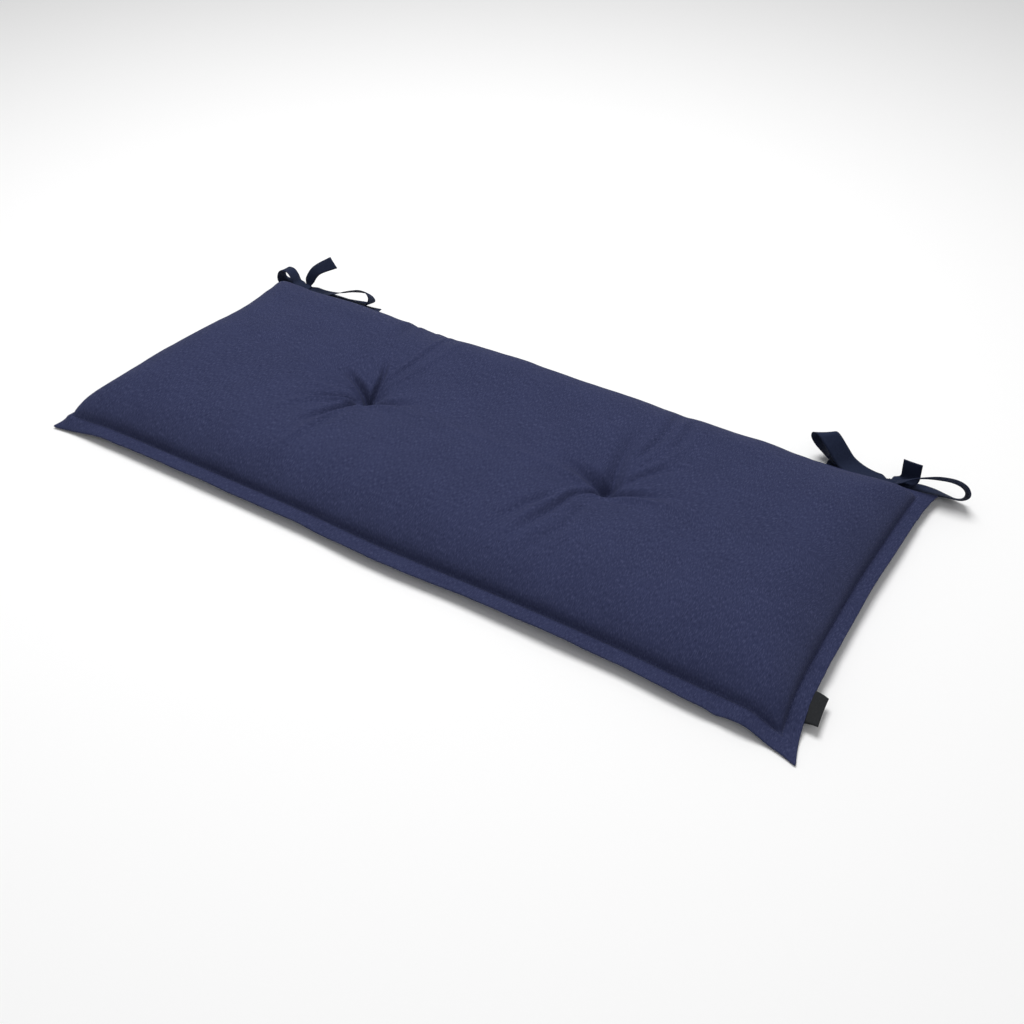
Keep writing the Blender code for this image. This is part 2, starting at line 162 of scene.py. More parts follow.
def placeCamera():
    az, el = math.radians(studio["azimuth"]), math.radians(studio["elevation"])
    back = Vector((math.sin(az) * math.cos(el), -math.cos(az) * math.cos(el), math.sin(el)))
    lens = bpy.data.cameras.new("camera")
    lens.sensor_width = 36
    lens.lens = studio["lens"]
    lens.clip_start = 0.02
    camera = placeObject("camera", lens, studio["cameraAt"])
    camera.rotation_euler = (-back).to_track_quat("-Z", "Y").to_euler()
    bpy.context.scene.camera = camera


def softLight(name, at, size, power):
    lamp = bpy.data.lights.new(name, "AREA")
    lamp.shape = "DISK"
    lamp.size = size
    lamp.energy = power
    light = placeObject(name, lamp, at)
    light.rotation_euler = (-Vector(at)).to_track_quat("-Z", "Y").to_euler()


def makeStudio():
    placeCamera()
    softLight("keyLight", studio["keyAt"], studio["keySize"], studio["keyPower"])
    softLight("fillLight", studio["fillAt"], studio["fillSize"], studio["fillPower"])
    world = bpy.data.worlds.new("studio")
    world.use_nodes = True
    sky = world.node_tree.nodes["Background"]
    sky.inputs["Color"].default_value = (1, 1, 1, 1)
    sky.inputs["Strength"].default_value = studio["skyStrength"]
    bpy.context.scene.world = world
    bpy.context.scene.view_settings.view_transform = "Standard"

    half = studio["floorHalf"]
    under = cadBox[0][2] - studio["floorDrop"]
    mesh = bpy.data.meshes.new("floor")
    corners = [(-half, -half, under), (half, -half, under), (half, half, under), (-half, half, under)]
    mesh.from_pydata(corners, [], [(0, 1, 2, 3)])
    paint = bpy.data.materials.new("palePaper")
    paint.use_nodes = True
    shader = paint.node_tree.nodes["Principled BSDF"]
    shader.inputs["Base Color"].default_value = (*studio["floorColour"], 1)
    shader.inputs["Roughness"].default_value = 0.9
    mesh.materials.append(paint)
    placeObject("floor", mesh)


print("stage: studio")
makeStudio()


def nodeGroup(name, inputs, outputs):
    tree = bpy.data.node_groups.new(name, "ShaderNodeTree")
    for label, kind, value in inputs:
        socket = tree.interface.new_socket(name=label, in_out="INPUT", socket_type=kind)
        if value is not None:
            socket.default_value = value
    for label, kind in outputs:
        tree.interface.new_socket(name=label, in_out="OUTPUT", socket_type=kind)
    start = tree.nodes.new("NodeGroupInput")
    end = tree.nodes.new("NodeGroupOutput")
    return tree, start.outputs, end.inputs


def maths(tree, operation, a, b=None, c=None):
    node = tree.nodes.new("ShaderNodeMath")
    node.operation = operation
    for socket, value in zip(node.inputs, (a, b, c)):
        if value is None:
            continue
        if isinstance(value, (int, float)):
            socket.default_value = value
        else:
            tree.links.new(value, socket)
    return node.outputs[0]


def stretchVector(tree, vector, x, y):
    node = tree.nodes.new("ShaderNodeVectorMath")
    node.operation = "MULTIPLY"
    tree.links.new(vector, node.inputs[0])
    join = tree.nodes.new("ShaderNodeCombineXYZ")
    tree.links.new(x, join.inputs[0])
    tree.links.new(y, join.inputs[1])
    join.inputs[2].default_value = 1.0
    tree.links.new(join.outputs[0], node.inputs[1])
    return node.outputs[0]


def noiseOf(tree, vector, detail, roughness):
    node = tree.nodes.new("ShaderNodeTexNoise")
    node.inputs["Scale"].default_value = 1.0
    node.inputs["Detail"].default_value = detail
    node.inputs["Roughness"].default_value = roughness
    tree.links.new(vector, node.inputs["Vector"])
    return node.outputs["Fac"]


def remap(tree, value, low, high):
    node = tree.nodes.new("ShaderNodeMapRange")
    node.interpolation_type = "SMOOTHSTEP"
    tree.links.new(value, node.inputs["Value"])
    node.inputs["From Min"].default_value = low
    node.inputs["From Max"].default_value = high
    return node.outputs["Result"]


def makeThreadGroup():  # plain weave: threads that pass over and under each other
    tree, given, out = nodeGroup(
        "threadWeave",
        [("Vector", "NodeSocketVector", None), ("Pitch", "NodeSocketFloat", 0.0008)],
        [("Height", "NodeSocketFloat")],
    )
    split = tree.nodes.new("ShaderNodeSeparateXYZ")
    tree.links.new(given["Vector"], split.inputs[0])
    x = maths(tree, "DIVIDE", split.outputs[0], given["Pitch"])
    y = maths(tree, "DIVIDE", split.outputs[1], given["Pitch"])
    thread = maths(tree, "ADD", maths(tree, "FLOOR", x), maths(tree, "FLOOR", y))
    over = maths(tree, "FLOORED_MODULO", thread, 2.0)
    ridgeX = maths(tree, "ABSOLUTE", maths(tree, "SINE", maths(tree, "MULTIPLY", x, math.pi)))
    ridgeY = maths(tree, "ABSOLUTE", maths(tree, "SINE", maths(tree, "MULTIPLY", y, math.pi)))
    upper = maths(tree, "MULTIPLY", ridgeX, over)
    lower = maths(tree, "MULTIPLY", ridgeY, maths(tree, "SUBTRACT", 1.0, over))
    tree.links.new(maths(tree, "ADD", upper, lower), out["Height"])
    return tree


def makeFleckGroup():  # the uneven dye of melange yarn: short streaks along one direction
    tree, given, out = nodeGroup(
        "yarnFlecks",
        [
            ("Vector", "NodeSocketVector", None),
            ("Across", "NodeSocketFloat", 900.0),
            ("Along", "NodeSocketFloat", 300.0),
        ],
        [("Light", "NodeSocketFloat"), ("Dark", "NodeSocketFloat"), ("Fuzz", "NodeSocketFloat")],
    )
    streaks = noiseOf(tree, stretchVector(tree, given["Vector"], given["Across"], given["Along"]), 1.5, 0.55)
    shifted = tree.nodes.new("ShaderNodeVectorMath")
    shifted.operation = "ADD"
    tree.links.new(given["Vector"], shifted.inputs[0])
    shifted.inputs[1].default_value = (1.7, 2.9, 0.0)
    other = noiseOf(tree, stretchVector(tree, shifted.outputs[0], given["Across"], given["Along"]), 1.5, 0.55)
    tree.links.new(remap(tree, streaks, 0.46, 0.74), out["Light"])
    tree.links.new(remap(tree, other, 0.46, 0.74), out["Dark"])
    tree.links.new(streaks, out["Fuzz"])
    return tree


def makeMottleGroup():  # slow change of shade over the cloth, about a middle of 0.5
    tree, given, out = nodeGroup(
        "slowMottle",
        [("Vector", "NodeSocketVector", None), ("Scale", "NodeSocketFloat", 18.0)],
        [("Shade", "NodeSocketFloat")],
    )
    node = tree.nodes.new("ShaderNodeTexNoise")
    node.inputs["Detail"].default_value = 3.0
    tree.links.new(given["Vector"], node.inputs["Vector"])
    tree.links.new(given["Scale"], node.inputs["Scale"])
    tree.links.new(node.outputs["Fac"], out["Shade"])
    return tree


threadWeave = makeThreadGroup()
yarnFlecks = makeFleckGroup()
slowMottle = makeMottleGroup()


def placeGroup(tree, group, vector, **values):
    node = tree.nodes.new("ShaderNodeGroup")
    node.node_tree = group
    tree.links.new(vector, node.inputs["Vector"])
    for label, value in values.items():
        node.inputs[label].default_value = value
    return node.outputs


def mixColours(tree, share, a, b):
    node = tree.nodes.new("ShaderNodeMix")
    node.data_type = "RGBA"
    sockets = {"Factor": node.inputs[0], "A": node.inputs[6], "B": node.inputs[7]}
    tree.links.new(share, sockets["Factor"])
    for label, value in (("A", a), ("B", b)):
        if isinstance(value, tuple):
            sockets[label].default_value = (*value, 1)
        else:
            tree.links.new(value, sockets[label])
    return node.outputs[2]


def clothMaterial(name, look):
    material = bpy.data.materials.new(name)
    material.use_nodes = True
    tree = material.node_tree
    shader = tree.nodes["Principled BSDF"]
    place = tree.nodes.new("ShaderNodeUVMap")
    place.uv_map = "cloth"
    vector = place.outputs[0]
    flecks = placeGroup(tree, yarnFlecks, vector, Across=look["fleckAcross"], Along=look["fleckAlong"])
    weave = placeGroup(tree, threadWeave, vector, Pitch=look["pitch"])
    mottle = placeGroup(tree, slowMottle, vector, Scale=look["mottleScale"])
    shade = mixColours(tree, remap(tree, mottle["Shade"], 0.3, 0.7), look["deep"], look["base"])
    for fleck, colour in (("Dark", look["dark"]), ("Light", look["light"])):
        shade = mixColours(tree, maths(tree, "MULTIPLY", flecks[fleck], look["fleckStrength"]), shade, colour)
    # painted shade: the colour is darkened toward the dark yarn colour in the low gaps between threads, where
    # the weave's bump height is lowest
    gap = maths(tree, "SUBTRACT", 1.0, weave["Height"])
    shade = mixColours(tree, maths(tree, "MULTIPLY", gap, look["paintedGapShade"]), shade, look["dark"])
    tree.links.new(shade, shader.inputs["Base Color"])
    rough = maths(tree, "MULTIPLY_ADD", flecks["Light"], -0.08, look["roughness"])
    tree.links.new(rough, shader.inputs["Roughness"])
    height = maths(tree, "MULTIPLY_ADD", flecks["Fuzz"], look["fuzz"], weave["Height"])
    bump = tree.nodes.new("ShaderNodeBump")
    bump.inputs["Strength"].default_value = look["bumpStrength"]
    bump.inputs["Distance"].default_value = look["bumpDistance"]
    tree.links.new(height, bump.inputs["Height"])
    tree.links.new(bump.outputs[0], shader.inputs["Normal"])
    shader.inputs["Specular IOR Level"].default_value = look["specular"]
    shader.inputs["Sheen Weight"].default_value = look["sheen"]
    shader.inputs["Sheen Roughness"].default_value = look["sheenRoughness"]
    shader.inputs["Sheen Tint"].default_value = (*look["sheenTint"], 1)
    return material


coverLook = {
    "base": (0.0330, 0.0395, 0.0950),
    "deep": (0.0300, 0.0360, 0.0870),
    "dark": (0.0150, 0.0185, 0.0500),
    "light": (0.0720, 0.0820, 0.1680),
    "fleckAcross": 950.0,
    "fleckAlong": 190.0,
    "fleckStrength": 0.66,
    "mottleScale": 16.0,
    "pitch": 0.0007,
    # painted shade in the weave's gaps: how far the low places between threads are darkened
    "paintedGapShade": 0.35,
    "fuzz": 0.8,
    "bumpStrength": 0.50,
    "bumpDistance": 0.00025,
    "roughness": 0.92,
    "specular": 0.10,
    "sheen": 0.03,
    "sheenRoughness": 0.45,
    "sheenTint": (0.62, 0.68, 0.90),
}
tapeLook = {
    **coverLook,
    "base": (0.0185, 0.0255, 0.0560),
    "deep": (0.0165, 0.0230, 0.0510),
    "dark": (0.0100, 0.0140, 0.0320),
    "light": (0.0340, 0.0450, 0.0880),
    "fleckAcross": 1200.0,
    "fleckAlong": 250.0,
    "fleckStrength": 0.35,
    "pitch": 0.0009,
    "roughness": 0.80,
    "specular": 0.08,
    "sheen": 0.01,
}
labelLook = {
    **coverLook,
    "base": (0.0130, 0.0145, 0.0170),
    "deep": (0.0115, 0.0130, 0.0150),
    "dark": (0.0065, 0.0072, 0.0085),
    "light": (0.0230, 0.0250, 0.0290),
    "fleckStrength": 0.25,
    "pitch": 0.0005,
    "roughness": 0.65,
    "specular": 0.22,
    "sheen": 0.02,
}
threadLook = {
    **coverLook,
    "base": (0.0560, 0.0640, 0.1300),
    "deep": (0.0480, 0.0560, 0.1150),
    "dark": (0.0300, 0.0350, 0.0800),
    "light": (0.0900, 0.1000, 0.1900),
    "roughness": 0.60,
    "specular": 0.35,
}

print("stage: materials")
coverCloth = clothMaterial("melangeCover", coverLook)
tieTape = clothMaterial("wovenTape", tapeLook)
labelCloth = clothMaterial("blankLabel", labelLook)
sewingThread = clothMaterial("sewingThread", threadLook)


cover = {
    "halfX": 0.535,
    "halfY": 0.240,
    "flangeWidth": 0.022,
    "flangeThick": 0.003,
    "crown": 0.066,
    "sideDraw": {"front": 0.0125, "back": 0.0130, "left": 0.0135, "right": 0.0140},
    "topRoll": {"front": 0.090, "back": 0.076, "left": 0.062, "right": 0.078},
    "underRoll": {"front": 0.070, "back": 0.070, "left": 0.075, "right": 0.075},
    "flangeLift": {"front": 0.0155, "back": 0.0125, "left": 0.0040, "right": 0.0165},
    "flangeDroop": {"front": 0.0, "back": 0.0, "left": 0.0155, "right": 0.0030},  # the seam above the edge
    "flangeTuck": {"front": 0.0, "back": 0.0, "left": 0.0065, "right": 0.0030},  # width the droop takes up
    "cornerSharpness": (14, 6),
    "fineStep": 0.0017,
    "wideStep": 0.0040,
    "fineReach": 0.075,
    "seamSoftness": 0.009,
    "seamOverhang": 0.0010,
    "tipRound": 0.0040,
    "cornerFill": 2.2,
    "rimRound": 0.0018,
    "rimGroove": 0.0005,
    "seamPinch": 0.75,
    "seamPinchReach": 0.0013,
}
coverTips = [  # corner, how far out, the seam's own move, how high, where the flange comes down to that
    {"corner": (-1, -1), "out": (0.0055, -0.003), "seam": (0.013, 0.011),
     "height": 0.003, "flat": 0, "reach": 0.085},
    {"corner": (1, -1), "out": (0.005, 0.0045), "seam": (0.003, 0.005),
     "height": 0.002, "flat": 0.025, "reach": 0.068},
    {"corner": (1, 1), "out": (-0.001, 0.007), "seam": (0.006, 0.015),
     "height": 0.013, "flat": 0, "reach": 0.060},
    {"corner": (-1, 1), "out": (-0.006, -0.009), "seam": (0.000, 0.000),
     "height": 0.013, "flat": 0, "reach": 0.085},
]
flangeWaves = [
    {"side": "front", "at": 0.000, "rise": -0.0010, "push": 0.0045, "reach": 0.130},
    {"side": "front", "at": 0.420, "rise": -0.0020, "push": 0.0045, "reach": 0.100},
    {"side": "front", "at": 0.230, "rise": 0.0020, "push": 0.0000, "reach": 0.120},
    {"side": "back", "at": 0.440, "rise": 0.0060, "push": -0.0020, "reach": 0.150},
    {"side": "back", "at": -0.450, "rise": 0.0070, "push": -0.0075, "reach": 0.150},
    {"side": "right", "at": 0.150, "rise": 0.0000, "push": 0.0040, "reach": 0.130},
    {"side": "left", "at": -0.130, "rise": 0.0000, "push": 0.0160, "reach": 0.200},
]
tufts = [
    {"x": -0.180, "y": 0.000, "bottom": 0.021},
    {"x": 0.190, "y": -0.002, "bottom": 0.027},
]
tuftShape = {"bowl": 0.130, "throat": 0.038, "throatShare": 0.44, "underRise": 0.009, "underReach": 0.050}
swells = [
    {"x": 0.370, "y": 0.010, "rise": 0.003, "reach": 0.170},
    {"x": -0.385, "y": 0.020, "rise": 0.002, "reach": 0.150},
    {"x": 0.000, "y": -0.090, "rise": 0.003, "reach": 0.130},
    {"x": 0.010, "y": 0.120, "rise": -0.003, "reach": 0.110},
    {"x": 0.060, "y": 0.045, "rise": -0.006, "reach": 0.120},  # the valley between the tufts
    {"x": -0.070, "y": 0.040, "rise": -0.005, "reach": 0.110},
    {"x": -0.200, "y": 0.190, "rise": -0.008, "reach": 0.080},
    {"x": 0.195, "y": 0.195, "rise": -0.003, "reach": 0.060},
    {"x": -0.460, "y": 0.130, "rise": -0.008, "reach": 0.130},
    {"x": -0.455, "y": -0.070, "rise": 0.005, "reach": 0.110},
    {"x": 0.420, "y": 0.190, "rise": -0.008, "reach": 0.110},
]

seamU = 1 - cover["flangeWidth"] / cover["halfX"]
seamV = 1 - cover["flangeWidth"] / cover["halfY"]


def sideShares(u, v):
    along, across = np.abs(u) ** 6, np.abs(v) ** 6
    return {
        "right": along * (u > 0),
        "left": along * (u <= 0),
        "back": across * (v > 0),
        "front": across * (v <= 0),
    }


def waveSum(u, v, column):
    shares = sideShares(u, v)
    total = {}
    for side, share in shares.items():
        along = u * cover["halfX"] if side in ("front", "back") else v * cover["halfY"]
        amount = np.zeros_like(along)
        for wave in flangeWaves:
            if wave["side"] == side:
                amount = amount + wave[column] * softBump(np.abs(along - wave["at"]), wave["reach"])
        total[side] = share * amount
    return total


def hangShare(u, v):  # 1 at the seam and inside it, falling to 0 at the flange's edge
    return np.clip((1 - np.abs(u)) / (1 - seamU), 0, 1) * np.clip((1 - np.abs(v)) / (1 - seamV), 0, 1)


def sideSum(u, v, amounts):
    return {side: share * amounts[side] for side, share in sideShares(u, v).items()}


def planPosition(u, v):
    draw, pushes = cover["sideDraw"], waveSum(u, v, "push")
    sharpX, sharpY = cover["cornerSharpness"]
    drawX = np.where(u > 0, draw["right"], draw["left"]) * (1 - np.abs(v) ** sharpY)
    drawY = np.where(v > 0, draw["back"], draw["front"]) * (1 - np.abs(u) ** sharpX)
    x = u * (cover["halfX"] - drawX + pushes["right"] + pushes["left"])
    y = v * (cover["halfY"] - drawY + pushes["back"] + pushes["front"])
    tuck, hang = sideSum(u, v, cover["flangeTuck"]), hangShare(u, v)
    for tip in coverTips:
        (onX, onY), (outX, outY), (seamX, seamY) = tip["corner"], tip["out"], tip["seam"]
        nearX, nearY = np.maximum(0.5 + 0.5 * onX * u, 0), np.maximum(0.5 + 0.5 * onY * v, 0)
        share, seamShare = nearX ** 30 * nearY ** 6, nearX ** 14 * nearY ** 5 * hang
        x = x + onX * (outX * share + seamX * seamShare)
        y = y + onY * (outY * share + seamY * seamShare)
    x, y = x + hang * (tuck["right"] - tuck["left"]), y + hang * (tuck["back"] - tuck["front"])
    reach = cover["tipRound"]
    pastX = np.maximum(reach - (1 - np.abs(u)) * cover["halfX"], 0)
    pastY = np.maximum(reach - (1 - np.abs(v)) * cover["halfY"], 0)
    keep = np.maximum(pastX, pastY) / np.maximum(np.hypot(pastX, pastY), 1e-9)
    inCorner = (pastX > 0) & (pastY > 0)
    return (x - np.sign(u) * pastX * (1 - keep) * inCorner, y - np.sign(v) * pastY * (1 - keep) * inCorner)


def overSeam(u, v):  # the filled top bulges out over its own seam, so that the seam lies in a fold
    out = []
    for place, seam, half in ((u, seamU, cover["halfX"]), (v, seamV, cover["halfY"])):
        inside = (seam - np.abs(place)) * half
        bulge = easeStep(inside, 0.0, 0.0030) * (1 - easeStep(inside, 0.0035, 0.0160))
        out.append(cover["seamOverhang"] * np.sign(place) * bulge)
    insideX = easeStep((seamU - np.abs(u)) * cover["halfX"], 0, 0.004)
    insideY = easeStep((seamV - np.abs(v)) * cover["halfY"], 0, 0.004)
    inside = insideX * insideY
    return out[0] * inside, out[1] * inside


def flangeHeight(u, v):
    shares = sideShares(u, v)
    total = np.maximum(sum(shares.values()), 1e-9)
    height = sum(cover["flangeLift"][side] * share for side, share in shares.items()) / total
    height = height + sum(waveSum(u, v, "rise").values())
    for tip in coverTips:
        onX, onY = tip["corner"]
        away = np.hypot((1 - onX * u) * cover["halfX"], (1 - onY * v) * cover["halfY"])
        share = np.clip((tip["reach"] - away) / (tip["reach"] - tip["flat"]), 0, 1)
        height = height + (tip["height"] - height) * share * share * (3 - 2 * share)
    return height + hangShare(u, v) * sum(sideSum(u, v, cover["flangeDroop"]).values())


def roll(distance, reach):
    share = np.clip(distance / reach, 0, 1)
    share = share * share / (share + cover["seamSoftness"] * (1 - share) + 1e-9)
    return np.sqrt(1 - (1 - share) ** 2)


def fullness(u, v, reach):  # 0 at the seam and outside it, 1 where the filling has its whole thickness
    inX = (seamU - np.abs(u)) * cover["halfX"]
    inY = (seamV - np.abs(v)) * cover["halfY"]
    reachX = np.where(u > 0, reach["right"], reach["left"])
    reachY = np.where(v > 0, reach["back"], reach["front"])
    lackX, lackY = 1 - roll(inX, reachX), 1 - roll(inY, reachY)
    bend = cover["cornerFill"]
    both = (lackX ** bend + lackY ** bend) ** (1 / bend)
    return np.maximum(1 - both, 0)


# creases round the tufts: places from the tuft, how far up (or down), how wide, how soon in and out
creases = [
    {"tuft": 0, "rise": -0.0110, "width": 0.0042, "grow": 0.03, "hold": 0.35,
     "through": [(-0.001, 0.001), (-0.017, 0.010), (-0.039, 0.018), (-0.066, 0.032)]},
    {"tuft": 0, "rise": -0.0104, "width": 0.0030, "grow": 0.03, "hold": 0.30,
     "through": [(0.000, 0.002), (-0.002, 0.018), (-0.006, 0.040), (-0.026, 0.086)]},
    {"tuft": 0, "rise": -0.0073, "width": 0.0055, "grow": 0.05, "hold": 0.20,
     "through": [(0.004, -0.006), (0.022, -0.006), (0.050, 0.002), (0.095, 0.018)]},
    {"tuft": 0, "rise": -0.0073, "width": 0.0042, "grow": 0.05, "hold": 0.30,
     "through": [(-0.001, -0.006), (-0.008, -0.034), (-0.015, -0.061), (-0.024, -0.090), (-0.036, -0.135)]},
    {"tuft": 0, "rise": -0.0041, "width": 0.0042, "grow": 0.10, "hold": 0.40,
     "through": [(-0.008, -0.008), (-0.030, -0.028), (-0.050, -0.043), (-0.072, -0.062)]},
    {"tuft": 0, "rise": 0.0030, "width": 0.0040, "grow": 0.20, "hold": 0.45,
     "through": [(-0.012, -0.022), (-0.036, -0.042), (-0.058, -0.066), (-0.076, -0.096), (-0.084, -0.125)]},
    {"tuft": 0, "rise": 0.0020, "width": 0.0045, "grow": 0.20, "hold": 0.45,
     "through": [(-0.020, -0.008), (-0.046, -0.018), (-0.070, -0.028), (-0.095, -0.046)]},
    {"tuft": 0, "rise": 0.0026, "width": 0.0050, "grow": 0.25, "hold": 0.60,
     "through": [(-0.004, -0.055), (-0.010, -0.100), (-0.016, -0.137), (-0.026, -0.180)]},
    {"tuft": 0, "rise": 0.0016, "width": 0.0060, "grow": 0.25, "hold": 0.50,
     "through": [(0.006, -0.040), (0.012, -0.077), (0.014, -0.125)]},
    {"tuft": 0, "rise": 0.0017, "width": 0.0036, "grow": 0.20, "hold": 0.80,
     "through": [(0.000, 0.040), (0.009, 0.072), (0.013, 0.108), (0.015, 0.155), (0.008, 0.208)]},
    {"tuft": 0, "rise": -0.0015, "width": 0.0034, "grow": 0.30, "hold": 0.70,
     "through": [(0.007, 0.038), (0.017, 0.078), (0.022, 0.122), (0.020, 0.190)]},
    {"tuft": 0, "rise": 0.0016, "width": 0.0042, "grow": 0.20, "hold": 0.75,
     "through": [(0.010, 0.026), (0.026, 0.058), (0.037, 0.094), (0.044, 0.138), (0.040, 0.190)]},
    {"tuft": 0, "rise": 0.0026, "width": 0.0046, "grow": 0.20, "hold": 0.60,  # the lip in front of the tuft
     "through": [(-0.036, -0.040), (-0.014, -0.027), (0.008, -0.023), (0.040, -0.018), (0.085, -0.016)]},
    {"tuft": 0, "rise": -0.0049, "width": 0.0060, "grow": 0.10, "hold": 0.30,
     "through": [(-0.056, 0.200), (-0.048, 0.160), (-0.030, 0.110)]},
    {"tuft": 1, "rise": -0.0098, "width": 0.0075, "grow": 0.03, "hold": 0.20,
     "through": [(-0.001, 0.000), (-0.019, 0.002), (-0.042, 0.006), (-0.085, 0.014)]},
    {"tuft": 1, "rise": -0.0067, "width": 0.0085, "grow": 0.03, "hold": 0.25,
     "through": [(0.001, 0.004), (-0.003, 0.026), (-0.009, 0.058), (-0.013, 0.130)]},
    {"tuft": 1, "rise": -0.0067, "width": 0.0055, "grow": 0.03, "hold": 0.20,
     "through": [(0.004, -0.005), (0.028, -0.003), (0.055, 0.002), (0.105, 0.008)]},
    {"tuft": 1, "rise": -0.0037, "width": 0.0055, "grow": 0.15, "hold": 0.80,
     "through": [(0.009, 0.052), (0.017, 0.090), (0.019, 0.130), (0.011, 0.195)]},
    {"tuft": 1, "rise": -0.0032, "width": 0.0050, "grow": 0.15, "hold": 0.50,
     "through": [(0.016, 0.014), (0.034, 0.037), (0.052, 0.052), (0.085, 0.070)]},
    {"tuft": 1, "rise": -0.0027, "width": 0.0060, "grow": 0.25, "hold": 0.70,
     "through": [(0.046, 0.085), (0.044, 0.130), (0.038, 0.185)]},
    {"tuft": 1, "rise": -0.0056, "width": 0.0042, "grow": 0.03, "hold": 0.45,
     "through": [(0.000, -0.004), (-0.010, -0.020), (-0.024, -0.040), (-0.029, -0.084), (-0.050, -0.165)]},
    {"tuft": 1, "rise": 0.0020, "width": 0.0050, "grow": 0.20, "hold": 0.55,
     "through": [(-0.032, -0.038), (-0.040, -0.070), (-0.048, -0.110), (-0.064, -0.165)]},
    {"tuft": 1, "rise": -0.0037, "width": 0.0052, "grow": 0.20, "hold": 0.50,
     "through": [(-0.040, -0.055), (-0.058, -0.091), (-0.066, -0.115), (-0.078, -0.155)]},
    {"tuft": 1, "rise": -0.0027, "width": 0.0060, "grow": 0.15, "hold": 0.60,
     "through": [(-0.001, -0.045), (-0.002, -0.072), (-0.004, -0.115), (-0.034, -0.190)]},
    {"tuft": 1, "rise": 0.0022, "width": 0.0050, "grow": 0.20, "hold": 0.60,
     "through": [(0.020, 0.030), (0.042, 0.062), (0.052, 0.094), (0.060, 0.130)]},
    {"tuft": 1, "rise": 0.0026, "width": 0.0050, "grow": 0.15, "hold": 0.45,
     "through": [(-0.020, -0.032), (0.000, -0.025), (0.020, -0.020), (0.048, -0.015),
                 (0.085, -0.012), (0.125, -0.012)]},
    {"tuft": 1, "rise": 0.0020, "width": 0.0085, "grow": 0.08, "hold": 0.92,  # the lip between the tufts
     "through": [(-0.014, -0.014), (-0.050, -0.012), (-0.140, -0.014), (-0.220, -0.017),
                 (-0.295, -0.015), (-0.340, -0.018)]},
]


def creaseRoute(crease, step=0.006):
    tuft = tufts[crease["tuft"]]
    line = smoothRoute([(tuft["x"] + x, tuft["y"] + y, 0.0, 1.0) for x, y in crease["through"]], step)
    length = np.insert(np.cumsum(np.hypot(*np.diff(line[:, :2], axis=0).T)), 0, 0.0)
    return line[:, 0], line[:, 1], length / length[-1]


def creaseRise(x, y):
    total = np.zeros_like(x)
    for crease in creases:
        px, py, share = creaseRoute(crease)
        near = np.full_like(x, 1e9)
        along = np.zeros_like(x)
        for i in range(len(px) - 1):
            ex, ey = px[i + 1] - px[i], py[i + 1] - py[i]
            t = np.clip(((x - px[i]) * ex + (y - py[i]) * ey) / (ex * ex + ey * ey), 0, 1)
            gap = np.hypot(x - px[i] - t * ex, y - py[i] - t * ey)
            closer = gap < near
            near = np.where(closer, gap, near)
            along = np.where(closer, share[i] + t * (share[i + 1] - share[i]), along)
        ratio = near / (crease["width"] * (0.75 + 0.6 * along))
        strength = easeStep(along, -0.4 * crease["grow"], crease["grow"])
        strength = strength * (1 - easeStep(along, crease["hold"], 1.0))
        side = 0.28 * np.exp(-((ratio - 2.1) / 1.0) ** 2)
        total = total + crease["rise"] * strength * (np.exp(-ratio ** 1.4) - side)
    return total


def tuftHollow(x, y, crown):
    depth = np.zeros_like(x)
    for tuft in tufts:
        dx, dy = x - tuft["x"], y - tuft["y"]
        away = np.hypot(dx, dy)
        bowl = np.maximum(1 - away / tuftShape["bowl"], 0) ** 2
        throat = np.maximum(1 - away / tuftShape["throat"], 0) ** 2
        share = (1 - tuftShape["throatShare"]) * bowl + tuftShape["throatShare"] * throat
        depth = depth + (crown - tuft["bottom"]) * share
    return depth


puckers = {"rise": 0.0020, "wide": 0.046, "fine": 0.021, "reach": 0.030}  # drawn in along the seam
ripples = {"rise": 0.0011, "wide": 0.046, "fine": 0.024}  # along the flange
lumps = [  # in the filling: how high, how far apart, seed
    {"rise": 0.0011, "size": 0.085, "seed": 21},
    {"rise": 0.0005, "size": 0.034, "seed": 22},
]


def perimeterPlace(u, v):  # distance round the seam, and which side's seam is nearest
    hx, hy = cover["halfX"], cover["halfY"]
    inX, inY = (seamU - np.abs(u)) * hx, (seamV - np.abs(v)) * hy
    side = inX < inY
    along = np.where(side, v * hy + np.where(u > 0, 3.0, 5.0), u * hx + np.where(v > 0, 9.0, 13.0))
    return along, np.minimum(inX, inY), np.abs(inX - inY)


def seamPuckers(u, v):
    along, inside, corner = perimeterPlace(u, v)
    wide = unevenLine(along, puckers["wide"], 11) + 0.5 * unevenLine(along, puckers["fine"], 12)
    reachIn = np.exp(-np.maximum(inside, 0) / puckers["reach"]) * easeStep(inside, 0.0, 0.010)
    return puckers["rise"] * wide * reachIn * easeStep(corner, 0.0, 0.040)


flangeFolds = [  # short folds across the border: side, where along it, how deep, how wide
    {"side": "right", "at": 0.180, "depth": 0.0034, "width": 0.0050},
    {"side": "right", "at": -0.128, "depth": 0.0030, "width": 0.0055},
    {"side": "front", "at": 0.438, "depth": 0.0030, "width": 0.0080},
    {"side": "back", "at": -0.236, "depth": 0.0030, "width": 0.0060},
]


def flangeRipple(u, v):
    along, inside, corner = perimeterPlace(u, v)
    wide = unevenLine(along, ripples["wide"], 11) + 0.6 * unevenLine(along, ripples["fine"], 13)
    outside = easeStep(-inside, 0.000, cover["flangeWidth"])
    rise = ripples["rise"] * wide * outside * easeStep(corner, 0.0, 0.030)
    onEdge = {"right": u > seamU, "left": u < -seamU, "back": v > seamV, "front": v < -seamV}
    for fold in flangeFolds:
        place = u * cover["halfX"] if fold["side"] in ("front", "back") else v * cover["halfY"]
        away = (place - fold["at"] + 0.25 * inside) / fold["width"]
        across = easeStep(-inside, 0.0, 0.008) * onEdge[fold["side"]]
        rise = rise - fold["depth"] * np.exp(-away ** 2) * across
    return rise


def edgeDistance(u, v):
    return np.minimum((1 - np.abs(u)) * cover["halfX"], (1 - np.abs(v)) * cover["halfY"])


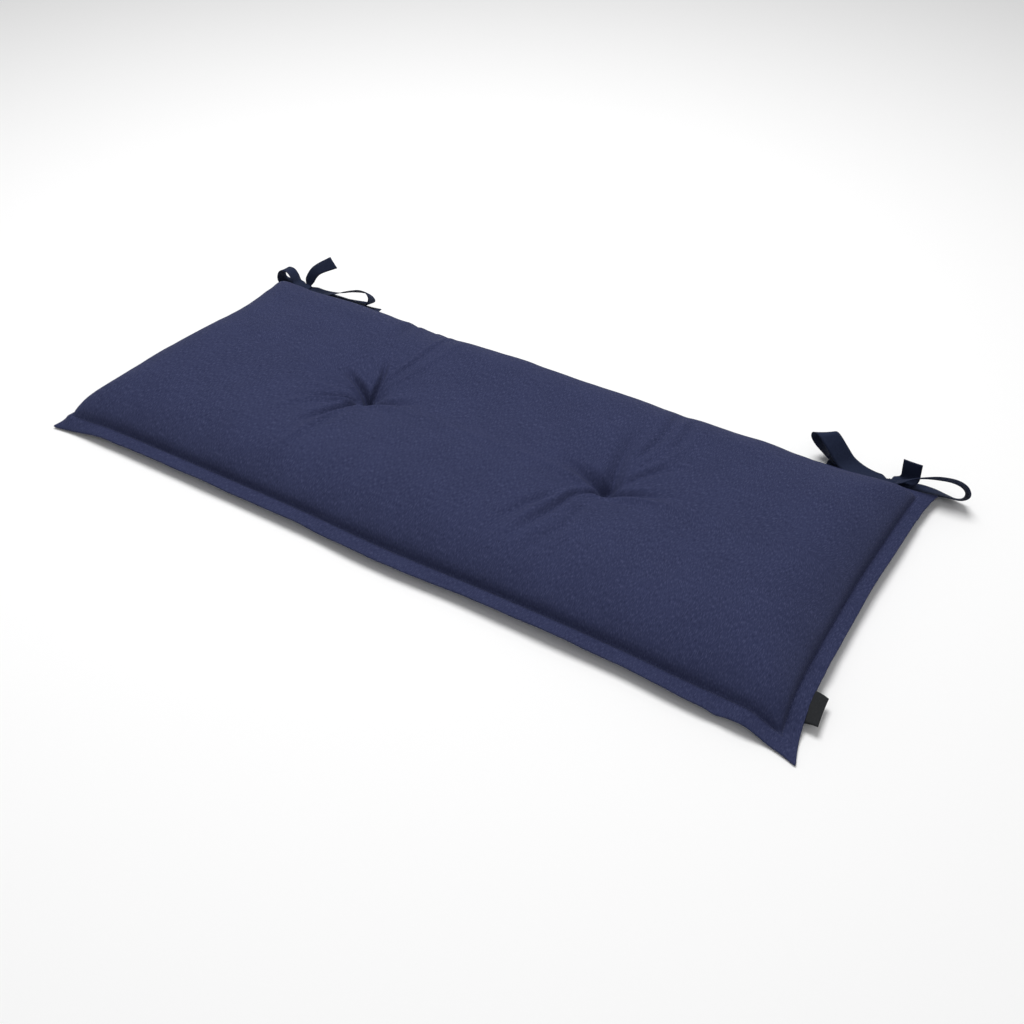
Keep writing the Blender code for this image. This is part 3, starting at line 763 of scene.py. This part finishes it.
def halfThickness(u, v):
    edge = edgeDistance(u, v)
    share = np.clip(edge / cover["rimRound"], 0, 1)
    rounded = np.sqrt(1 - (1 - share) ** 2)
    pinch = 1 - cover["seamPinch"] * np.exp(-((edge - cover["flangeWidth"]) / cover["seamPinchReach"]) ** 2)
    return cover["flangeThick"] / 2 * rounded * pinch


def topHeight(u, v):
    x, y = planPosition(u, v)
    base = flangeHeight(u, v) + halfThickness(u, v) + flangeRipple(u, v)
    full = fullness(u, v, cover["topRoll"])
    swell = np.zeros_like(x)
    for s in swells:
        swell = swell + s["rise"] * softBump(np.hypot(x - s["x"], y - s["y"]), s["reach"])
    uneven = sum(lump["rise"] * unevenField(x, y, lump["size"], lump["seed"]) for lump in lumps)
    crown = base + (cover["crown"] + swell - base) * full
    height = crown - tuftHollow(x, y, crown) * full
    return height + (uneven + creaseRise(x, y)) * full + seamPuckers(u, v)


def underHeight(u, v):
    x, y = planPosition(u, v)
    base = flangeHeight(u, v) - halfThickness(u, v) + flangeRipple(u, v)
    height = base * (1 - fullness(u, v, cover["underRoll"]))
    for tuft in tufts:
        away = np.hypot(x - tuft["x"], y - tuft["y"])
        height = height + tuftShape["underRise"] * softBump(away, tuftShape["underReach"])
    return np.maximum(height, 0.0002)


def stations(half, centres):  # grid lines: close at the rim, the seam and the tufts
    rim = [0, 0.0003, 0.0009, 0.0018, 0.0035, 0.007, 0.011, 0.015, 0.0185, 0.0203, 0.0212]
    rim += [0.0220, 0.0228, 0.0240, 0.0260, 0.0290, 0.0330]
    places, here, last = [], -half + rim[-1], half - rim[-1]
    while here < last:
        places.append(here)
        nearest = min(abs(here - c) for c in centres)
        fine = float(softBump(np.array(nearest), cover["fineReach"]))
        here += cover["wideStep"] + (cover["fineStep"] - cover["wideStep"]) * fine
    places = np.array(places)
    places = places[0] + (places - places[0]) * (last - places[0]) / (here - places[0])
    left = -half + np.array(rim[:-1])
    return np.concatenate([left, places, (half - np.array(rim))[::-1]]) / half


def clothPlaces(x, y, z):  # lengths over the cloth from its middle lines, so the weave isn't stretched
    def travelled(axis):
        step = np.sqrt(sum(np.diff(c, axis=axis) ** 2 for c in (x, y, z)))
        total = np.insert(np.cumsum(step, axis=axis), 0, 0.0, axis=axis)
        return total - np.take(total, [total.shape[axis] // 2], axis=axis)
    return np.stack([travelled(0), travelled(1)], -1)


def makeCover():
    u = stations(cover["halfX"], [t["x"] for t in tufts])
    v = stations(cover["halfY"], [t["y"] for t in tufts])
    nu, nv = len(u), len(v)
    gu, gv = np.meshgrid(u, v, indexing="ij")
    x, y = planPosition(gu, gv)
    top, under = topHeight(gu, gv), underHeight(gu, gv)
    overX, overY = overSeam(gu, gv)
    rim = edgeDistance(gu, gv) < 1e-7
    inwards = cover["rimGroove"] * rim
    x = x - inwards * np.sign(gu) * (np.abs(gu) > 1 - 1e-9)
    y = y - inwards * np.sign(gv) * (np.abs(gv) > 1 - 1e-9)
    topIndex = np.arange(nu * nv).reshape(nu, nv)
    underIndex = topIndex.copy()
    inner = ~rim
    underIndex[inner] = nu * nv + np.arange(inner.sum())
    points = np.concatenate([
        np.stack([x + overX, y + overY, top], -1).reshape(-1, 3),
        np.stack([x, y, under], -1)[inner],
    ])
    uv = np.concatenate([
        clothPlaces(x, y, top).reshape(-1, 2),
        clothPlaces(x, y, under)[inner],
    ])
    faces = []
    for index, flip in ((topIndex, False), (underIndex, True)):
        quads = np.stack([index[:-1, :-1], index[1:, :-1], index[1:, 1:], index[:-1, 1:]], -1).reshape(-1, 4)
        faces += (quads[:, ::-1] if flip else quads).tolist()
    return meshPiece("cushionCover", points, faces, uv, coverCloth)


print("stage: cushion cover")
cushionCover = makeCover()
print("cover triangles", 2 * len(cushionCover.data.polygons))


stitchRow = {"pitch": 0.0034, "length": 0.0028, "radius": 0.00030, "looseness": 0.10, "seed": 5,
             "lift": 0.00005}


def makeStitchTree():
    tree = bpy.data.node_groups.new("stitchRow", "GeometryNodeTree")
    face = tree.interface
    face.new_socket(name="Geometry", in_out="INPUT", socket_type="NodeSocketGeometry")
    for label, kind, value in (
        ("Pitch", "NodeSocketFloat", stitchRow["pitch"]),
        ("Stitch length", "NodeSocketFloat", stitchRow["length"]),
        ("Thread radius", "NodeSocketFloat", stitchRow["radius"]),
        ("Looseness", "NodeSocketFloat", stitchRow["looseness"]),
        ("Seed", "NodeSocketInt", stitchRow["seed"]),
        ("Thread", "NodeSocketMaterial", None),
    ):
        socket = face.new_socket(name=label, in_out="INPUT", socket_type=kind)
        if value is not None:
            socket.default_value = value
    face.new_socket(name="Geometry", in_out="OUTPUT", socket_type="NodeSocketGeometry")
    new, link = tree.nodes.new, tree.links.new
    start, end = new("NodeGroupInput").outputs, new("NodeGroupOutput").inputs
    curve = new("GeometryNodeMeshToCurve")
    link(start["Geometry"], curve.inputs["Mesh"])
    row = new("GeometryNodeCurveToPoints")
    row.mode = "LENGTH"
    link(curve.outputs[0], row.inputs["Curve"])
    link(start["Pitch"], row.inputs["Length"])
    aim = new("FunctionNodeAlignRotationToVector")
    aim.axis = "Z"
    link(row.outputs["Tangent"], aim.inputs["Vector"])
    stitch = new("GeometryNodeMeshUVSphere")
    stitch.inputs["Segments"].default_value = 6
    stitch.inputs["Rings"].default_value = 4
    stitch.inputs["Radius"].default_value = 1.0
    half = maths(tree, "MULTIPLY", start["Stitch length"], 0.5)
    size = new("ShaderNodeCombineXYZ")
    link(start["Thread radius"], size.inputs[0])
    link(start["Thread radius"], size.inputs[1])
    link(half, size.inputs[2])
    vary = new("FunctionNodeRandomValue")
    vary.data_type = "FLOAT"
    link(maths(tree, "SUBTRACT", 1.0, start["Looseness"]), vary.inputs[2])
    link(maths(tree, "ADD", 1.0, start["Looseness"]), vary.inputs[3])
    link(start["Seed"], vary.inputs["Seed"])
    scaled = new("ShaderNodeVectorMath")
    scaled.operation = "SCALE"
    link(size.outputs[0], scaled.inputs[0])
    link(vary.outputs[1], scaled.inputs["Scale"])
    spread = new("GeometryNodeInstanceOnPoints")
    link(row.outputs["Points"], spread.inputs["Points"])
    link(stitch.outputs["Mesh"], spread.inputs["Instance"])
    link(aim.outputs[0], spread.inputs["Rotation"])
    link(scaled.outputs[0], spread.inputs["Scale"])
    real = new("GeometryNodeRealizeInstances")
    link(spread.outputs[0], real.inputs[0])
    smooth = new("GeometryNodeSetShadeSmooth")
    link(real.outputs[0], smooth.inputs[0])
    dress = new("GeometryNodeSetMaterial")
    link(smooth.outputs[0], dress.inputs["Geometry"])
    link(start["Thread"], dress.inputs["Material"])
    link(dress.outputs[0], end["Geometry"])
    return tree


stitchTree = makeStitchTree()


def stitchRows(name, routes, material, **sizes):
    points, edges = [], []
    for route in routes:
        first = len(points)
        points += [tuple(p) for p in route]
        edges += [(first + i, first + i + 1) for i in range(len(route) - 1)]
    mesh = bpy.data.meshes.new(name)
    mesh.from_pydata(points, edges, [])
    rows = placeObject(name, mesh)
    modifier = rows.modifiers.new("stitches", "NODES")
    modifier.node_group = stitchTree
    sockets = [item for item in stitchTree.interface.items_tree if item.in_out == "INPUT"]
    idents = {item.name: item.identifier for item in sockets}
    for label, value in sizes.items():
        modifier[idents[label.replace("_", " ")]] = value
    modifier[idents["Thread"]] = material
    bakeModifiers(rows)
    layer = rows.data.uv_layers.new(name="cloth")
    corner = np.zeros(len(rows.data.loops), int)
    rows.data.loops.foreach_get("vertex_index", corner)
    places = np.zeros(len(rows.data.vertices) * 3, np.float32)
    rows.data.vertices.foreach_get("co", places)
    layer.data.foreach_set("uv", places.reshape(-1, 3)[corner][:, :2].ravel())
    return rows


def seamRoute(top):
    corners = [(-seamU, -seamV), (seamU, -seamV), (seamU, seamV), (-seamU, seamV), (-seamU, -seamV)]
    route = []
    for (u0, v0), (u1, v1) in zip(corners, corners[1:]):
        steps = 400 if u0 != u1 else 180
        share = np.arange(steps) / steps
        u, v = u0 + (u1 - u0) * share, v0 + (v1 - v0) * share
        x, y = planPosition(u, v)
        z = topHeight(u, v) + stitchRow["lift"] if top else underHeight(u, v) - stitchRow["lift"]
        route += np.stack([x, y, z], -1).tolist()
    return route + route[:1]


print("stage: stitches")
seamStitches = stitchRows(
    "seamStitches",
    [seamRoute(True), seamRoute(False)],
    sewingThread,
    Pitch=stitchRow["pitch"],
    Stitch_length=stitchRow["length"],
    Thread_radius=stitchRow["radius"],
    Looseness=stitchRow["looseness"],
    Seed=stitchRow["seed"],
)
print("stitch triangles", sum(len(p.vertices) - 2 for p in seamStitches.data.polygons))


tape = {"width": 0.025, "thick": 0.0010, "step": 0.0022, "gatheredWidth": 0.008, "gatherReach": 0.016,
        "cup": 0.0004, "pleat": 0.0011, "across": 8}
knot = {"halfLong": 0.0068, "halfDeep": 0.0062, "halfHigh": 0.0042, "bulge": 0.0016, "skew": 0.0015,
        "tapeLength": 0.045}
tieLeftRoutes = {  # place from the knot, then the direction across the tape
    "knot": (-0.4880, 0.2382, 0.0062),
    "loopOut": [
        (0, 0, 0.003, 0, -0.99, 0.05),
        (-0.010, 0.001, 0.0035, 0.12, -0.98, 0.12),
        (-0.020, 0.0015, 0.006, 0.17, -0.96, 0.23),
        (-0.0245, 0.0018, 0.015, 0.17, -0.96, 0.23),
        (-0.0312, 0.002, 0.0225, 0.17, -0.96, 0.23),
        (-0.042, 0.0028, 0.0228, 0.17, -0.96, 0.23),
        (-0.0505, 0.0036, 0.017, 0.17, -0.96, 0.23),
        (-0.0548, 0.0042, 0.007, 0.15, -0.97, 0.20),
        (-0.053, 0.005, -0.0005, 0.12, -0.98, 0.10),
        (-0.040, 0.005, -0.0025, 0.06, -0.99, 0.04),
        (-0.020, 0.003, -0.0024, 0.03, -0.99, 0.03),
        (0, 0.001, -0.002, 0, -0.99, 0.05),
    ],
    "loopIn": [
        (0, 0, 0.002, 0, -0.99, 0.02),
        (0.030, 0.001, 0.001, 0.06, -0.97, 0.12),
        (0.060, 0.003, 0.0085, 0.18, -0.86, 0.38),
        (0.085, 0.0045, 0.0185, 0.22, -0.80, 0.50),
        (0.108, 0.005, 0.0255, 0.22, -0.74, 0.60),
        (0.1215, 0.0055, 0.025, 0.20, -0.76, 0.58),
        (0.1275, 0.006, 0.0165, 0.15, -0.84, 0.50),
        (0.1205, 0.0065, 0.006, 0.10, -0.94, 0.30),
        (0.100, 0.005, 0, 0.03, -0.98, 0.10),
        (0.070, 0.001, -0.003, 0, -0.99, 0.02),
        (0.040, -0.001, -0.0036, 0, -0.99, 0.02),
        (0, 0, -0.002, 0, -0.99, 0.02),
    ],
    "endUp": [
        (0, 0.001, 0.001, 0.95, -0.20, 0.22),
        (0, 0.006, 0.0045, 0.92, -0.30, 0.20),
        (0.0025, 0.0078, 0.0142, 0.90, -0.30, 0.10),
        (0.0125, 0.008, 0.029, 0.89, -0.35, -0.02),
        (0.0262, 0.008, 0.0408, 0.88, -0.40, -0.15),
        (0.0555, 0.008, 0.0593, 0.84, -0.41, -0.35),
    ],
    "endDown": [
        (0, 0, -0.0035, 0, 1.00, 0),
        (0.020, 0.002, -0.005, 0, 1.00, 0),
        (0.070, 0.004, -0.005, 0, 1.00, 0),
        (0.112, 0.002, -0.0046, 0.05, 0.99, 0),
        (0.138, 0.001, -0.0022, 0.12, 0.98, 0.10),
    ],
}
tieRightRoutes = {
    "knot": (0.4720, 0.2450, 0.0062),
    "loopOut": [
        (0, 0, 0.003, 0.10, -0.92, 0.30),
        (0.009, 0.001, 0.006, 0.18, -0.86, 0.42),
        (0.0173, 0.002, 0.0116, 0.26, -0.78, 0.50),
        (0.026, 0.0025, 0.0172, 0.30, -0.70, 0.63),
        (0.0412, 0.003, 0.0251, 0.31, -0.66, 0.67),
        (0.0576, 0.004, 0.0304, 0.31, -0.62, 0.71),
        (0.0756, 0.0055, 0.0322, 0.33, -0.62, 0.69),
        (0.0885, 0.007, 0.028, 0.34, -0.66, 0.64),
        (0.095, 0.008, 0.019, 0.34, -0.72, 0.56),
        (0.0935, 0.009, 0.0095, 0.31, -0.72, 0.57),
        (0.0847, 0.010, 0.0032, 0.29, -0.75, 0.52),
        (0.072, 0.013, 0.0008, 0.24, -0.80, 0.45),
        (0.054, 0.014, -0.0006, 0.14, -0.90, 0.28),
        (0.034, 0.010, -0.0014, 0.05, -0.98, 0.05),
        (0.016, 0.004, -0.0018, 0, -0.99, 0.02),
        (0, 0.001, -0.0015, 0, -0.99, 0.02),
    ],
    "loopIn": [
        (0, 0, 0.002, 0, -0.99, 0.02),
        (-0.0238, 0.001, 0.0008, -0.10, -0.98, 0),
        (-0.0435, 0.003, 0.0016, -0.30, -0.90, -0.16),
        (-0.0601, 0.005, 0.0068, -0.50, -0.75, -0.35),
        (-0.0725, 0.0065, 0.0184, -0.54, -0.71, -0.38),
        (-0.0833, 0.008, 0.0296, -0.56, -0.70, -0.36),
        (-0.094, 0.011, 0.0373, -0.75, -0.60, -0.12),
        (-0.1034, 0.017, 0.031, -0.80, -0.56, 0.10),
        (-0.1065, 0.021, 0.019, -0.66, -0.66, 0.30),
        (-0.101, 0.0205, 0.0095, -0.48, -0.76, 0.42),
        (-0.0905, 0.017, 0.004, -0.32, -0.83, 0.42),
        (-0.0752, 0.012, 0.0002, -0.18, -0.93, 0.26),
        (-0.057, 0.007, -0.0022, -0.05, -0.98, 0.06),
        (-0.022, 0.002, -0.0026, 0, -0.99, 0),
        (0, 0.001, -0.0015, 0, -0.99, 0),
    ],
    "endUp": [
        (0, 0.002, 0.001, 0.70, -0.70, 0.05),
        (0.0085, 0.0095, 0.0005, 0.80, -0.60, 0),
        (0.016, 0.0155, 0.001, 0.90, -0.40, 0),
        (0.020, 0.0178, 0.006, 0.97, -0.15, 0),
        (0.0197, 0.018, 0.0173, 0.99, -0.06, 0),
        (0.019, 0.018, 0.031, 0.99, -0.05, 0.02),
    ],
    "endDown": [
        (0, 0, -0.0035, 0, 1.00, 0),
        (-0.020, 0.001, -0.005, 0, 1.00, 0),
        (-0.050, 0.002, -0.005, 0, 1.00, 0),
        (-0.086, 0.001, -0.0045, -0.05, 0.99, 0),
    ],
}


def tapeStrip(rows, knotAt):
    line = smoothRoute(rows, tape["step"])
    place = line[:, :3]
    lean = line[:, 3:] / np.linalg.norm(line[:, 3:], axis=1)[:, None]
    run = np.gradient(place, axis=0)
    run /= np.linalg.norm(run, axis=1)[:, None]
    face = np.cross(run, lean)
    face /= np.maximum(np.linalg.norm(face, axis=1), 1e-9)[:, None]
    length = np.concatenate([[0], np.cumsum(np.linalg.norm(np.diff(place, axis=0), axis=1))])
    away = np.linalg.norm(place - knotAt, axis=1)
    gather = softBump(away, tape["gatherReach"])
    width = tape["width"] + (tape["gatheredWidth"] - tape["width"]) * gather
    s = np.linspace(-1, 1, tape["across"] + 1)
    cup = tape["cup"] * (s ** 2 - 0.4)[None, :] * (1 - gather)[:, None]
    pleat = tape["pleat"] * np.cos(3 * np.pi * s)[None, :] * gather[:, None]
    points = (place[:, None] + lean[:, None] * (s[None, :] * width[:, None] / 2)[..., None]
              + face[:, None] * (cup + pleat)[..., None])
    uv = np.stack(np.broadcast_arrays(s[None, :] * tape["width"] / 2, length[:, None]), -1)
    return points, uv, length[-1]


def gridFaces(rows, columns, first):
    index = first + np.arange(rows * columns).reshape(rows, columns)
    quads = np.stack([index[:-1, :-1], index[1:, :-1], index[1:, 1:], index[:-1, 1:]], -1)
    return quads.reshape(-1, 4).tolist()


def knotBand(knotAt):  # the turn of gathered tape round the middle of the bow
    turns, across = 40, 9
    angle = np.linspace(0, 2 * np.pi, turns)
    s = np.linspace(-1, 1, across)
    bulge = knot["bulge"] * (1 - s ** 2) + 0.00035 * np.cos(4 * np.pi * s)
    skew = knot["skew"] * np.sin(angle)
    x = s[None, :] * knot["halfLong"] + skew[:, None]
    y = (knot["halfDeep"] + bulge)[None, :] * np.cos(angle)[:, None]
    z = (knot["halfHigh"] + bulge)[None, :] * np.sin(angle)[:, None]
    points = np.stack(np.broadcast_arrays(x, y, z), -1) + knotAt
    uv = np.stack(np.broadcast_arrays(s[None, :] * tape["width"] / 2, angle[:, None] * 0.007), -1)
    return points, uv, knot["tapeLength"]


def makeTie(name, routes):
    knotAt = np.array(routes["knot"])
    strips = []
    for part in ("loopOut", "loopIn", "endUp", "endDown"):
        rows = np.array(routes[part], float)
        rows[:, :3] += knotAt
        strips.append(tapeStrip(rows, knotAt))
    u = routes["knot"][0] / cover["halfX"]
    one = np.ones(1)
    edgeY = float(planPosition(u * one, one)[1][0])
    edgeZ = float(flangeHeight(u * one, one)[0] + flangeRipple(u * one, one)[0])
    sewn = np.array([routes["knot"][0], edgeY + 0.0006, edgeZ])
    lean = [1.0, 0.0, 0.0]
    leadAt = (sewn, sewn + [0, 0.003, 0], sewn * 0.4 + knotAt * 0.6, knotAt)
    strips.append(tapeStrip([[*place, *lean] for place in leadAt], knotAt))
    strips.append(knotBand(knotAt))
    points, uvs, faces, total = [], [], [], 0.0
    for place, uv, length in strips:
        first = sum(len(p) for p in points)
        faces += gridFaces(place.shape[0], place.shape[1], first)
        points.append(place.reshape(-1, 3))
        uvs.append(uv.reshape(-1, 2))
        total += length
    tie = meshPiece(name, np.concatenate(points), faces, np.concatenate(uvs), tieTape)
    wall = tie.modifiers.new("thickness", "SOLIDIFY")
    wall.thickness = tape["thick"]
    wall.offset = 0
    bakeModifiers(tie)
    tie.data.shade_smooth()
    print(name, "tape length", round(total, 3), "triangles", 2 * len(tie.data.polygons))
    return tie, total


print("stage: ties")
tieLeft, tieLeftLength = makeTie("tieLeft", tieLeftRoutes)
tieRight, tieRightLength = makeTie("tieRight", tieRightRoutes)


label = {"length": 0.042, "reach": 0.015, "layer": 0.00045, "gap": 0.00025, "tucked": 0.001,
         "middleY": -0.172, "droop": 0.0035}


def makeLabel():
    arc = np.linspace(-math.pi / 2, math.pi / 2, 7)
    bendRadius = (label["layer"] + label["gap"]) / 2
    straight = np.linspace(0, label["reach"] - bendRadius, 9)
    out = np.concatenate([straight, straight[-1] + bendRadius * np.cos(arc[1:-1]), straight[::-1]])
    rise = np.concatenate([np.full(9, -bendRadius), bendRadius * np.sin(arc[1:-1]), np.full(9, bendRadius)])
    flat = np.linspace(0, 2 * label["reach"], len(out))
    along = np.linspace(-0.5, 0.5, 15) * label["length"] + label["middleY"]
    gOut, gAlong = np.meshgrid(out, along, indexing="ij")
    gRise = np.broadcast_to(rise[:, None], gOut.shape)
    v = gAlong / cover["halfY"]
    edgeX = planPosition(np.ones_like(v), v)[0]
    middle = float(flangeHeight(np.ones(1), np.full(1, label["middleY"] / cover["halfY"]))[0])
    share = gOut / label["reach"]
    follow = (flangeHeight(np.ones_like(v), v) - middle) * (1 - share)
    z = middle + follow + gRise - label["droop"] * share ** 2
    points = np.stack([edgeX - label["tucked"] + gOut, gAlong, z], -1)
    uv = np.stack(np.broadcast_arrays(flat[:, None], gAlong), -1).reshape(-1, 2)
    faces = gridFaces(points.shape[0], points.shape[1], 0)
    piece = meshPiece("sideLabel", points.reshape(-1, 3), faces, uv, labelCloth)
    wall = piece.modifiers.new("thickness", "SOLIDIFY")
    wall.thickness = label["layer"]
    wall.offset = 0
    return bakeModifiers(piece)


print("stage: label")
sideLabel = makeLabel()


for piece, node, slot in (
    (cushionCover, "cushion", "cover_cloth"),
    (tieLeft, "tie_left", "tie_tape"),
    (tieRight, "tie_right", "tie_tape"),
    (sideLabel, "label", "label_tape"),
    (seamStitches, None, "cover_cloth"),
):
    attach(piece, body)
    if node:
        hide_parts(node)
